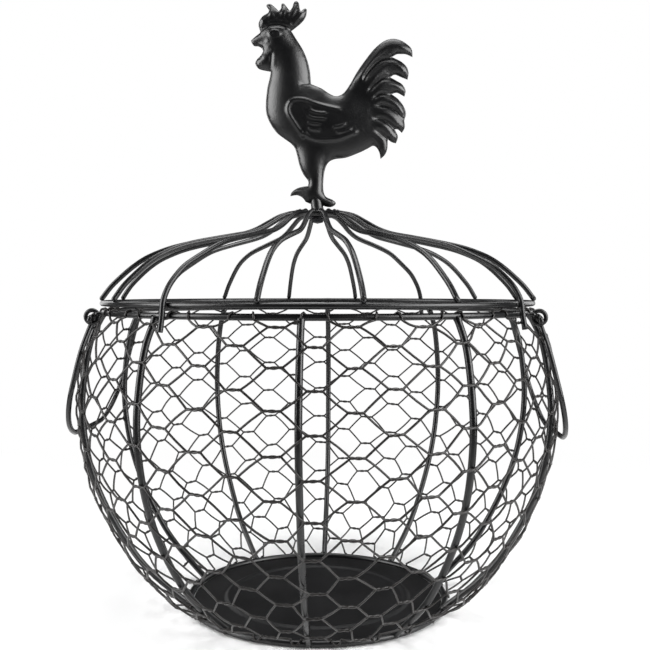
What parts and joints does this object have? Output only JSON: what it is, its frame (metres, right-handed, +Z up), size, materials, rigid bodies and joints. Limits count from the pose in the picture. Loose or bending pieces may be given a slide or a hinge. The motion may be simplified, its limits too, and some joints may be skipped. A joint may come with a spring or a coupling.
{
  "type": "wire produce basket",
  "caption": "Round-bellied wire basket with hexagonal netting, two swinging bail handles and a domed lift-off wire lid topped by a cast rooster.",
  "frame": {"origin": "centre of the base plate's underside, on the surface that the basket stands on", "axes": "+Z up; -Y is the front; the rooster faces -X; the handles hang at +X and -X"},
  "size_m": [0.2136, 0.2104, 0.2689],
  "materials": {
    "frame_wire": "satin black powder coat on round steel wire",
    "netting_wire": "thin satin black coat on twisted netting wire",
    "base_sheet": "satin black coat on sheet steel",
    "cast_rooster": "satin black coat on cast iron",
    "fastener": "black oxide"
  },
  "bodies": {
    "basket": {"rim_ring": "frame_wire", "base_ring": "frame_wire", "base_plate": "base_sheet", "wire_netting": "netting_wire", "basket_rib_01": "frame_wire", "basket_rib_02": "frame_wire", "basket_rib_03": "frame_wire", "basket_rib_04": "frame_wire", "basket_rib_05": "frame_wire", "basket_rib_06": "frame_wire", "basket_rib_07": "frame_wire", "basket_rib_08": "frame_wire", "basket_rib_09": "frame_wire", "basket_rib_10": "frame_wire", "left_front_eyelet": "frame_wire", "left_back_eyelet": "frame_wire", "right_front_eyelet": "frame_wire", "right_back_eyelet": "frame_wire"},
    "left_handle": {"left_handle": "frame_wire"},
    "right_handle": {"right_handle": "frame_wire"},
    "lid": {"lid_ring": "frame_wire", "hub_ring": "frame_wire", "hub_plate": "base_sheet", "rooster_finial": "cast_rooster", "finial_screw": "fastener", "finial_washer": "fastener", "lid_rib_01": "frame_wire", "lid_rib_02": "frame_wire", "lid_rib_03": "frame_wire", "lid_hook_rib_04": "frame_wire", "lid_rib_05": "frame_wire", "lid_rib_06": "frame_wire", "lid_rib_07": "frame_wire", "lid_hook_rib_08": "frame_wire", "lid_rib_09": "frame_wire", "lid_rib_10": "frame_wire", "lid_rib_11": "frame_wire", "lid_hook_rib_12": "frame_wire", "lid_rib_13": "frame_wire", "lid_rib_14": "frame_wire", "lid_rib_15": "frame_wire", "lid_hook_rib_16": "frame_wire"}
  },
  "joints": [
    {"name": "lid_lift", "type": "slide", "parent": "basket", "child": "lid", "axis": [0, 0, 1], "range_m": [0, 0.1]},
    {"name": "left_handle_swing", "type": "hinge", "parent": "basket", "child": "left_handle", "pos_m": [-0.0919, 0, 0.1289], "axis": [0, 1, 0], "range_deg": [0, 150]},
    {"name": "right_handle_swing", "type": "hinge", "parent": "basket", "child": "right_handle", "pos_m": [0.0919, 0, 0.1289], "axis": [0, -1, 0], "range_deg": [0, 150]}
  ]
}
